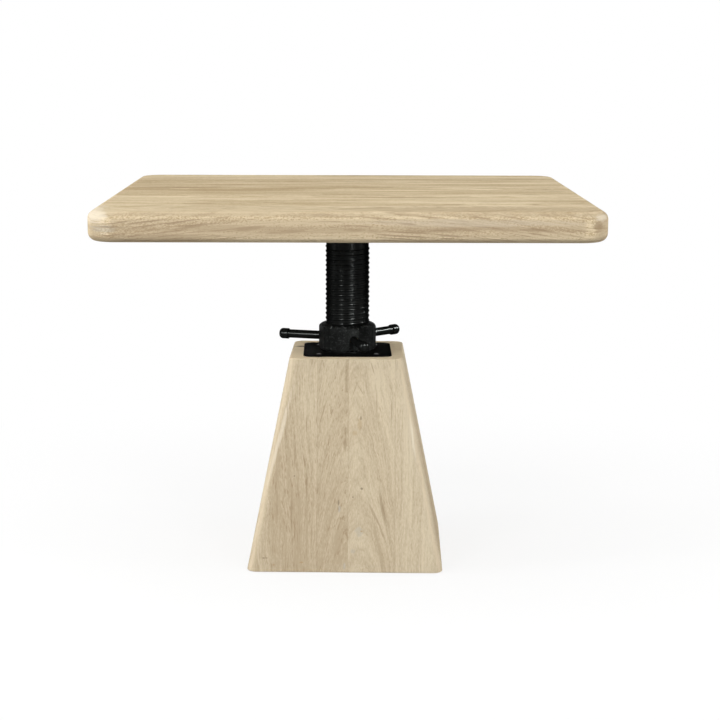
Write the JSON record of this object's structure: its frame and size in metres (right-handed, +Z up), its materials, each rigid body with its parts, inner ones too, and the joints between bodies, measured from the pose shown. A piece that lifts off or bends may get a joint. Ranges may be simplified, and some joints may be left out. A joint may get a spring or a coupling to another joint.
{
  "type": "telescoping pedestal table",
  "caption": "Square wooden table top on a black jack screw; a hand nut with rod handles on a tapered wooden pedestal raises and lowers it.",
  "frame": {"origin": "centre of the table on the floor, on the screw's axis", "axes": "+Z up along the screw, +X and +Y along the sides of the top, -Y the pictured front"},
  "size_m": [0.914, 0.914, 0.725],
  "materials": {
    "top_wood": "pale bleached hardwood, matt oil",
    "pedestal_wood": "pale bleached hardwood, matt oil",
    "inner_wood": "plain sawn, unfinished",
    "cast_black": "as cast, black enamel",
    "handle_black": "gloss black",
    "black_steel": "satin black",
    "fasteners": "black zinc",
    "nylon": "plain nylon"
  },
  "bodies": {
    "pedestal": {"bearing_plate": "black_steel", "corner_block_1": "inner_wood", "corner_block_2": "inner_wood", "corner_block_3": "inner_wood", "corner_block_4": "inner_wood", "floor_board": "inner_wood", "floor_glides": "nylon", "floor_screws": "fasteners", "glide_nails": "fasteners", "guide_tube": "black_steel", "pedestal_cap": "inner_wood", "plate_screws": "fasteners", "stave_back_1": "pedestal_wood", "stave_back_2": "pedestal_wood", "stave_back_3": "pedestal_wood", "stave_back_4": "pedestal_wood", "stave_front_1": "pedestal_wood", "stave_front_2": "pedestal_wood", "stave_front_3": "pedestal_wood", "stave_front_4": "pedestal_wood", "stave_left_1": "pedestal_wood", "stave_left_2": "pedestal_wood", "stave_left_3": "pedestal_wood", "stave_left_4": "pedestal_wood", "stave_right_1": "pedestal_wood", "stave_right_2": "pedestal_wood", "stave_right_3": "pedestal_wood", "stave_right_4": "pedestal_wood", "thrust_washer": "black_steel"},
    "nut": {"hand_nut": "cast_black", "handle_knob_1": "handle_black", "handle_knob_2": "handle_black", "handle_knob_3": "handle_black", "handle_rod_1": "handle_black", "handle_rod_2": "handle_black", "handle_rod_3": "handle_black"},
    "lift": {"end_plug": "nylon", "flange_screws": "fasteners", "guide_bush": "nylon", "guide_pin": "fasteners", "jack_screw": "black_steel", "top_board_1": "top_wood", "top_board_2": "top_wood", "top_board_3": "top_wood", "top_board_4": "top_wood", "top_board_5": "top_wood", "top_board_6": "top_wood", "top_board_7": "top_wood", "top_flange": "black_steel"}
  },
  "joints": [
    {"name": "nut_turn", "type": "hinge", "parent": "pedestal", "child": "nut", "pos_m": [0, 0, 0.436], "axis": [0, 0, 1], "range_deg": [-9000, 1080]},
    {"name": "screw_lift", "type": "slide", "parent": "pedestal", "child": "lift", "axis": [0, 0, 1], "range_m": [-0.0288, 0.24]}
  ],
  "couplings": [
    {"joint": "screw_lift", "follows": "nut_turn", "m_per_rad": -0.0015279}
  ]
}
